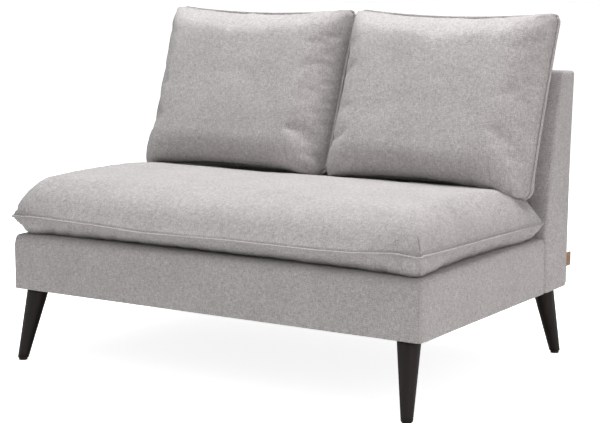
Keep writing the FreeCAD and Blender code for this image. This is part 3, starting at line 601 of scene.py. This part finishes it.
def makeSeatCushion():
    values, body = seatCushion, "seat_cushion"
    place = Matrix.Translation((0, faceY, values["seamHeight"]))
    cushion, seam, stitchLine, diagonal = filledCover("seatCushion", body, place, values)
    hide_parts("seat_cushion_cover", "seat_cushion_filling")
    points, faces, uvs = sweptLoop(seam, ellipseSection(*values["lip"]))
    meshPiece("seatCushionSeam", points, faces, materials["linen"], body, uvs)
    stitches("seatCushionStitches", [stitchLine], body, seatStitch)
    tack = [diagonal[row] + Vector(values["tackLift"]) for row in values["tackRows"]]
    stitches("seatCornerTack", [tack], body, tackStitch, closed=False, material="tack")


# Stitches, teeth and staples, set out along paths

seatStitch = {"pitch": 0.0065, "length": 0.0045, "thick": 0.0008}
weltStitch = {"pitch": 0.0060, "length": 0.0042, "thick": 0.0007}
tackStitch = {"pitch": 0.0025, "length": 0.0050, "thick": 0.0011}


def rowTree(name, material):  # small rods set out along a path and turned along it
    tree = bpy.data.node_groups.new(name, "GeometryNodeTree")
    tree.interface.new_socket("Geometry", in_out="OUTPUT", socket_type="NodeSocketGeometry")
    tree.interface.new_socket("Path", in_out="INPUT", socket_type="NodeSocketGeometry")
    for socket in ("Pitch", "Length", "Thick"):
        tree.interface.new_socket(socket, in_out="INPUT", socket_type="NodeSocketFloat")
    given = addNode(tree, "NodeGroupInput").outputs
    curve = addNode(tree, "GeometryNodeMeshToCurve", {"Mesh": given["Path"]})
    spacing = {"Curve": curve, "Length": given["Pitch"]}
    spaced = addNode(tree, "GeometryNodeResampleCurve", spacing, mode="LENGTH")
    tangent = addNode(tree, "GeometryNodeInputTangent")
    turn = addNode(tree, "FunctionNodeAlignRotationToVector", {"Vector": tangent}, axis="Z")
    rod = addNode(tree, "GeometryNodeMeshUVSphere", {"Segments": 6, "Rings": 4, "Radius": 0.5})
    sizes = {"X": given["Thick"], "Y": given["Thick"], "Z": given["Length"]}
    wide = addNode(tree, "ShaderNodeCombineXYZ", sizes)
    placing = {"Points": spaced, "Instance": rod.outputs["Mesh"], "Rotation": turn, "Scale": wide}
    placed = addNode(tree, "GeometryNodeInstanceOnPoints", placing)
    real = addNode(tree, "GeometryNodeRealizeInstances", {"Geometry": placed})
    painted = addNode(tree, "GeometryNodeSetMaterial", {"Geometry": real, "Material": material})
    addNode(tree, "NodeGroupOutput", {"Geometry": painted})
    return tree


def stitches(name, paths, body, values, closed=True, material="thread"):
    mesh = bpy.data.meshes.new(name + "Path")
    vertices, edges = [], []
    for path in paths:
        start = len(vertices)
        vertices += [tuple(p) for p in path]
        edges += [(start + i, start + i + 1) for i in range(len(path) - 1)]
        if closed:
            edges.append((start + len(path) - 1, start))
    mesh.from_pydata(vertices, edges, [])
    holder = newObject(name, mesh)
    tree = rowTree(name + "Tree", materials[material])
    modifier = holder.modifiers.new("row", "NODES")
    modifier.node_group = tree
    sizes = {"Pitch": values["pitch"], "Length": values["length"], "Thick": values["thick"]}
    for item in tree.interface.items_tree:
        if item.in_out == "INPUT" and item.name in sizes:
            modifier[item.identifier] = sizes[item.name]
    holder.update_tag()
    bpy.context.view_layer.update()
    evaluated = holder.evaluated_get(bpy.context.evaluated_depsgraph_get())
    result = bpy.data.meshes.new_from_object(evaluated)
    holder.modifiers.remove(modifier)
    holder.data = result
    result.name = name
    bpy.data.meshes.remove(mesh)
    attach(holder, body)


# Back cushions

def pillowSurface(point, away, profile, values):
    x, y, z = point
    seed, outer = values["seed"], values["outer"]
    lumps = swelling(x, y, values)
    z += math.copysign(lumps * profile, z) if abs(z) > 1e-6 else 0.0
    z += math.copysign(pucker(point, away, values["pucker"], seed), z)
    z += cornerFolds(point, values)
    if z > 0:  # the filling sinks, so the lower front hangs over its seam
        y -= values["sag"] * math.exp(-y / values["sagReach"]) * min(1.0, z / values["sagDepth"])
    inward = abs(point.x - values["half"])
    ridge = math.exp(-inward / values["gatherReach"])
    ridge = ridge * math.sin(point.y * values["gatherTurn"] + seed)
    z += values["gather"] * ridge * min(1.0, away / values["gatherStart"])
    near = math.exp(-math.hypot(x - outer * values["half"], y) / values["droopReach"])
    y -= values["droop"] * near
    x += outer * values["spread"] * near
    return Vector((x, y, z))


backCushion = {
    "half": 0.2905,
    "depth": 0.458,
    "edge": 0.078,
    "sideShare": 1.0,
    "rise": 0.094,
    "fall": 0.0750,
    "flat": 0.0677,
    "cap": 0.014,
    "fallEdge": 0.075,
    "crownAt": 0.200,
    "crownRadius": 6.0,
    "pullSides": 0.001,
    "pullNear": 0.010,
    "pullFar": 0.015,
    "corner": 0.022,
    "crease": 0.0045,
    "creaseReach": 0.055,
    "lumps": ((0.2, 5.0, 0.0, 0.006), (0.7, 13.0, 0.0, 0.0016)),
    "gather": 0.0012,
    "gatherReach": 0.022,
    "gatherTurn": 240,
    "gatherStart": 0.008,
    "sag": 0.040,
    "sagReach": 0.070,
    "sagDepth": 0.045,
    "droopReach": 0.09,
    "spread": 0.004,
    "fine": 10,
    "columns": 42,
    "rows": 34,
    "pucker": 0.005,
    "weltRadius": 0.0035,
    "weltOut": 0.9,  # share of the radius by which the cord stands outside the seam
    "weltSides": 12,
    "middle": 0.300,
    "panelShift": 3,
    "lean": 20.0,
    "footDepth": 0.5855,
    "footHeight": 0.4625,
    "shape": pillowSurface,
}


backPair = {
    "left": {"outer": -1, "seed": 11.0, "droop": 0.008},
    "right": {"outer": 1, "seed": 23.0, "droop": 0.024},
}


def makeBackCushion(side):
    values, body = dict(backCushion, **backPair[side]), f"{side}_back_cushion"
    foot = (values["outer"] * values["middle"], faceY + values["footDepth"], values["footHeight"])
    lean = Matrix.Rotation(math.radians(90 - values["lean"]), 4, "X")
    place = Matrix.Translation(foot) @ lean
    cushion, seam, stitchLine, _ = filledCover(f"{side}BackCushion", body, place, values)
    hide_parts(f"{side}_back_cushion_cover", f"{side}_back_cushion_filling")
    radius = values["weltRadius"]
    section = ellipseSection(radius, radius, radius * values["weltOut"], values["weltSides"])
    points, faces, uvs = sweptLoop(seam, section)
    stitches(f"{side}BackStitches", [stitchLine], body, weltStitch)
    linenCloth = materials["linen"]
    welt = meshPiece(f"{side}BackWelt", points, faces, linenCloth, body, uvs)
    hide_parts(f"{side}_back_cushion_welt")


# Upholstered base and back

faceShift = 3.1  # keeps the weave of one face from running on over the next


def roundedBlock(low, high, radii, steps, counts, reshape):  # soft at its upper and upright edges
    size = high - low
    axes = [edgeSteps(size[a], radii[a], steps, counts[a]) + low[a] for a in range(3)]
    vertices, lookup, faces, corners = [], {}, [], []

    def vertex(i, j, k):
        if (i, j, k) not in lookup:
            flat = Vector((axes[0][i], axes[1][j], axes[2][k]))
            inner = Vector((
                min(max(flat.x, low.x + radii[0]), high.x - radii[0]),
                min(max(flat.y, low.y + radii[1]), high.y - radii[1]),
                min(flat.z, high.z - radii[2]),
            ))
            away = Vector([(flat[a] - inner[a]) / radii[a] for a in range(3)])
            if away.length > 1e-9:
                away.normalize()
            rounded = Vector([inner[a] + away[a] * radii[a] for a in range(3)])
            lookup[(i, j, k)] = len(vertices)
            vertices.append(reshape(rounded, away))
        return lookup[(i, j, k)]

    last = [len(axis) - 1 for axis in axes]
    for axis in range(3):
        others = [a for a in range(3) if a != axis]
        for end in (0, last[axis]):
            outward = (end > 0) == (axis != 1)
            for a in range(last[others[0]]):
                for b in range(last[others[1]]):
                    quad, cloth = [], []
                    for da, db in ((0, 0), (1, 0), (1, 1), (0, 1)):
                        place = [0, 0, 0]
                        place[axis], place[others[0]], place[others[1]] = end, a + da, b + db
                        quad.append(vertex(*place))
                        along = axes[others[0]][a + da] + axis * faceShift
                        cloth.append((along, axes[others[1]][b + db] + end))
                    if not outward:
                        quad, cloth = quad[::-1], cloth[::-1]
                    faces.append(quad)
                    corners.append(cloth)
    return vertices, faces, corners


def blockPiece(name, block, body):
    vertices, faces, corners = block
    piece = meshPiece(name, vertices, faces, materials["linen"], body)
    layer = piece.data.uv_layers.new(name="cloth")
    cloth = np.array([c for face in corners for c in face], np.float32)
    layer.data.foreach_set("uv", cloth.ravel())
    return piece


baseValues = {
    "roundSide": 0.012, "roundFront": 0.014, "roundTop": 0.024, "fine": 5, "counts": (70, 40, 9),
    "swells": ((5.0, 1.0, 0.0012), (16.0, 4.0, 0.0004)), "hem": 0.004, "hemShare": 0.3,
}


def makeBase():
    low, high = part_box("base_cover")
    radii = (baseValues["roundSide"], baseValues["roundFront"], baseValues["roundTop"])

    def reshape(point, away):
        swells = baseValues["swells"]
        soft = sum(softNoise(point, scale, seed) * height for scale, seed, height in swells)
        if point.z < low.z + baseValues["hem"]:
            soft *= baseValues["hemShare"]
        axis = away if away.length > 0.5 else Vector((0, -1 if point.y < 0 else 1, 0))
        return point + axis * soft

    block = roundedBlock(low, high, radii, baseValues["fine"], baseValues["counts"], reshape)
    cover = blockPiece("baseCover", block, "base")
    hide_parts("base_cover", "base_wadding")


backValues = {
    "knee": 0.345, "frontBow": 0.009, "rearBow": 0.006, "rake": 0.023, "topThick": 0.070,
    "round": 0.009, "fine": 4, "counts": (70, 5, 40), "swell": (4.0, 7.0, 0.0010),
    "thick": 0.1,  # depth of the plain block that is bent between the two faces
}


def backEdges(z, low, high):  # depth of the front and the rear face at a height
    rise = max(0.0, (z - backValues["knee"]) / (high.z - backValues["knee"]))
    topFront = high.y - backValues["topThick"]
    front = low.y + (topFront - low.y) * rise - backValues["frontBow"] * 4 * rise * (1 - rise)
    t = (z - low.z) / (high.z - low.z)
    rearFoot = high.y - backValues["rake"]
    rear = rearFoot + backValues["rake"] * t - backValues["rearBow"] * 4 * t * (1 - t)
    return front, rear


def makeBack():
    low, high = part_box("back_cover")
    thick = backValues["thick"]
    scale, seed, height = backValues["swell"]
    flatLow, flatHigh = Vector((low.x, 0, low.z)), Vector((high.x, thick, high.z))

    def reshape(point, away):
        front, rear = backEdges(point.z, low, high)
        soft = softNoise(point, scale, seed) * height * (1 if away.y >= 0 else -1)
        return Vector((point.x, front + (rear - front) * point.y / thick + soft, point.z))

    radii = (backValues["round"],) * 3
    block = roundedBlock(flatLow, flatHigh, radii, backValues["fine"], backValues["counts"], reshape)
    cover = blockPiece("backCover", block, "base")
    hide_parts("back_cover", "back_wadding")


seamValues = {
    "radius": 0.0014, "sides": 8, "baseInset": 0.0042, "backInset": 0.0024, "steps": 24,
    "hem": 0.001, "backHem": 0.006, "stitchIn": 0.0022, "stitchOut": 0.0030,
}


def makeFrameSeams():  # ridges where the panels of the frame's covers are sewn together
    low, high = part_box("base_cover")
    backLow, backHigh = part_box("back_cover")
    inset, steps = seamValues["baseInset"], seamValues["steps"]
    paths = []
    top = high.z - baseValues["roundTop"]
    for x in (low.x + inset, high.x - inset):
        heights = np.linspace(low.z + seamValues["hem"], top, steps)
        paths.append([Vector((x, low.y + inset, z)) for z in heights])
    inset = seamValues["backInset"]
    for x in (backLow.x + inset, backHigh.x - inset):
        lowest = backLow.z + seamValues["backHem"]
        heights = np.linspace(lowest, backHigh.z - backValues["round"], steps)
        rears = [backEdges(z, backLow, backHigh)[1] - inset for z in heights]
        paths.append([Vector((x, y, z)) for y, z in zip(rears, heights)])
    vertices, faces, uvs = [], [], []
    radius = seamValues["radius"]
    section = ellipseSection(radius, radius, 0.0, seamValues["sides"])
    for path in paths:
        ring, ringFaces, ringUvs = sweptLoop(path, section, False, Vector((1, 0, 0)))
        faces += [tuple(i + len(vertices) for i in face) for face in ringFaces]
        vertices += ring
        uvs += ringUvs
    meshPiece("frameSeams", vertices, faces, materials["linen"], "base", uvs)
    beside = []
    for path in paths:
        inward = math.copysign(seamValues["stitchIn"], -path[0].x)
        outward = math.copysign(seamValues["stitchOut"], path[0].y)
        beside.append([point + Vector((inward, outward, 0)) for point in path])
    stitches("frameStitches", beside, "base", seatStitch, closed=False)


# Legs

legValues = {"topRadius": 0.0285, "footRadius": 0.0140, "bevel": 0.0018, "sides": 48, "rings": 14}


def makeLeg(end, side):
    low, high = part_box(f"{end}_{side}_leg")
    top, foot = legValues["topRadius"], legValues["footRadius"]
    outX = -1 if side == "left" else 1
    outY = -1 if end == "front" else 1
    head = Vector((
        (low.x if outX > 0 else high.x) + outX * top,
        (low.y if outY > 0 else high.y) + outY * top, high.z,
    ))
    toe = Vector((
        (high.x if outX > 0 else low.x) - outX * foot,
        (high.y if outY > 0 else low.y) - outY * foot, low.z,
    ))
    bevel = legValues["bevel"] / (high.z - low.z)
    shares = [0.0] + list(np.linspace(bevel, 1 - bevel / 2, legValues["rings"])) + [1.0]
    vertices, faces = [], []
    sides = legValues["sides"]
    for share in shares:
        radius = foot + (top - foot) * share
        if share == 0.0:
            radius -= legValues["bevel"]
        if share == 1.0:
            radius -= legValues["bevel"] / 2
        middle = toe.lerp(head, share)
        for turn in np.linspace(0, 2 * math.pi, sides, endpoint=False):
            vertices.append(middle + Vector((math.cos(turn), math.sin(turn), 0)) * radius)
    for ring in range(len(shares) - 1):
        for i in range(sides):
            j = (i + 1) % sides
            here, above = ring * sides, (ring + 1) * sides
            faces.append((here + i, here + j, above + j, above + i))
    faces.append(tuple(reversed(range(sides))))
    faces.append(tuple((len(shares) - 1) * sides + i for i in range(sides)))
    name = f"{end}{side.title()}Leg"
    leg = meshPiece(name, vertices, faces, materials["wenge"], "base")
    leg.data.polygons[-1].use_smooth = False
    leg.data.polygons[-2].use_smooth = False
    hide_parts(f"{end}_{side}_leg")


# Carried-over parts of the frame

cadFinish = {
    "frame_timber": "timber", "stained_wood": "wenge", "glide_plastic": "glide", "zinc_steel": "steel",
    "fibreboard": "board", "webbing": "webbing", "foam": "foam", "wadding": "wadding",
    "dust_cloth": "dust", "zip_tape": "tape", "zip_metal": "zipMetal", "tag_ribbon": "ribbon",
    "upholstery": "linen",
}


def paintFrame():
    for entry in frame["record"]["subparts"]:
        node = nodes[entry["node"]]
        finish = materials[cadFinish[entry["material_slot"]]]
        if not node.material_slots:
            node.data.materials.append(finish)
        for slot in node.material_slots:
            slot.material = finish


# Fastenings and zip teeth

toothRow = {"pitch": 0.0021, "length": 0.0013, "thick": 0.0034}
stapleRow = {"pitch": 0.030, "length": 0.010, "thick": 0.0009}
screwRow = {"pitch": 0.0463, "length": 0.0062, "thick": 0.0062}
platePlan = {"side": 0.056, "screwInset": 0.0048}
zipPlan = {"endInset": 0.004, "seatSink": 0.0012, "backLift": 0.0001}
staplePlan = {"inset": 0.008, "proud": 0.0002}


def frameAround(low, high, inset, level):
    left, right = low.x + inset, high.x - inset
    front, rear = low.y + inset, high.y - inset
    corners = ((left, front), (right, front), (right, rear), (left, rear))
    return [Vector((x, y, level)) for x, y in corners]


def makeTeeth():
    inset = zipPlan["endInset"]
    low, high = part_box("seat_cushion_zip")
    y, z = high.y - zipPlan["seatSink"], (low.z + high.z) / 2
    line = [Vector((x, y, z)) for x in (low.x + inset, high.x - inset)]
    stitches("seatZipTeeth", [line], "seat_cushion", toothRow, closed=False, material="zipMetal")
    lean = math.radians(backCushion["lean"])
    rearward = Vector((0, math.cos(lean), -math.sin(lean)))
    for side in ("left", "right"):
        low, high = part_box(f"{side}_back_cushion_zip")
        middle = (low + high) / 2 + rearward * zipPlan["backLift"]
        line = [Vector((x, middle.y, middle.z)) for x in (low.x + inset, high.x - inset)]
        body = f"{side}_back_cushion"
        stitches(f"{side}ZipTeeth", [line], body, toothRow, closed=False, material="zipMetal")


def makeFastenings():
    low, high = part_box("dust_cover")
    rim = frameAround(low, high, staplePlan["inset"], low.z - staplePlan["proud"])
    stitches("dustCoverStaples", [rim], "base", stapleRow, material="steel")
    low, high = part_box("leg_plates")
    side = platePlan["side"]
    squares = []
    for x in (low.x, high.x - side):
        for y in (low.y, high.y - side):
            corner = Vector((x, y, low.z))
            far = corner + Vector((side, side, 0))
            squares.append(frameAround(corner, far, platePlan["screwInset"], low.z))
    stitches("legPlateScrews", squares, "base", screwRow, material="steel")


# Studio

studio = {"floor": "#FBFBFA", "reach": 30.0, "sky": 0.30, "white": 0.85, "aim": (0, 0, 0.4)}
plainLight, warmLight = (1.0, 1.0, 1.0), (1.0, 0.88, 0.84)
lamps = {
    "keyLamp": {"place": (-1.6, -3.4, 3.0), "size": 2.6, "power": 8.0, "tint": plainLight},
    "topLamp": {"place": (0.2, 0.25, 3.4), "size": 2.4, "power": 120.0, "tint": plainLight},
    "fillLamp": {"place": (3.4, -1.4, 1.6), "size": 2.4, "power": 20.0, "tint": warmLight},
}


def makeFloor():
    reach = studio["reach"]
    corners = ((-reach, -reach, 0), (reach, -reach, 0), (reach, reach, 0), (-reach, reach, 0))
    mesh = newMesh("floor", corners, [(0, 1, 2, 3)])
    floor = newObject("floor", mesh)
    material, tree, shader = newMaterial(
        "paleFloor", Base_Color=colour(studio["floor"]), Roughness=0.9, Specular_IOR_Level=0.1
    )
    seen = addNode(tree, "ShaderNodeLightPath").outputs["Is Camera Ray"]
    white = addNode(tree, "ShaderNodeMath", {0: seen, 1: studio["white"]}, operation="MULTIPLY")
    glow = addNode(tree, "ShaderNodeEmission", {"Strength": white})
    both = addNode(tree, "ShaderNodeAddShader", {0: shader, 1: glow})
    output = [n for n in tree.nodes if n.type == "OUTPUT_MATERIAL"][0]
    tree.links.new(both.outputs[0], output.inputs["Surface"])
    mesh.materials.append(material)


def makeSky():
    world = bpy.data.worlds.new("studio")
    bpy.context.scene.world = world
    world.use_nodes = True
    tree = world.node_tree
    tree.nodes.clear()
    path = addNode(tree, "ShaderNodeLightPath").outputs
    rays = {0: path["Is Camera Ray"], 1: path["Is Glossy Ray"]}
    direct = addNode(tree, "ShaderNodeMath", rays, operation="MAXIMUM")
    pure = colour("#FFFFFF")
    plain = addNode(tree, "ShaderNodeBackground", {"Color": pure, "Strength": studio["sky"]})
    white = addNode(tree, "ShaderNodeBackground", {"Color": pure, "Strength": 1.0})
    mixed = addNode(tree, "ShaderNodeMixShader", {0: direct, 1: plain, 2: white})
    addNode(tree, "ShaderNodeOutputWorld", {"Surface": mixed})


def makeLamp(name, values):
    data = bpy.data.lights.new(name, "AREA")
    data.color = values["tint"]
    data.size = values["size"]
    data.energy = values["power"]
    lamp = newObject(name, data)
    ahead = Vector(studio["aim"]) - Vector(values["place"])
    lamp.location = values["place"]
    lamp.rotation_euler = ahead.to_track_quat("-Z", "Y").to_euler()


cameraValues = {
    "place": (2.302, -3.5955, 1.032), "azimuth": 32.392, "elevation": 8.569,
    "lens": 99.45, "shiftY": -0.0037, "reach": 100,
}


def makeCamera():
    data = bpy.data.cameras.new("camera")
    data.lens = cameraValues["lens"]
    data.shift_y = cameraValues["shiftY"]
    data.clip_end = cameraValues["reach"]
    camera = newObject("camera", data)
    turn, tilt = math.radians(cameraValues["azimuth"]), math.radians(cameraValues["elevation"])
    level = math.cos(tilt)
    ahead = Vector((-math.sin(turn) * level, math.cos(turn) * level, -math.sin(tilt)))
    camera.location = cameraValues["place"]
    camera.rotation_euler = ahead.to_track_quat("-Z", "Y").to_euler()
    bpy.context.scene.camera = camera


makeCamera()
makeFloor()
makeSky()
for name, values in lamps.items():
    makeLamp(name, values)
bpy.context.scene.view_settings.view_transform = "Standard"
print("studio made")

paintFrame()
makeBase()
makeBack()
makeFrameSeams()
print("base and back covered")
for end in ("front", "rear"):
    for side in ("left", "right"):
        makeLeg(end, side)
makeSeatCushion()
makeBackCushion("left")
makeBackCushion("right")
makeTeeth()
makeFastenings()
print("cushions made")
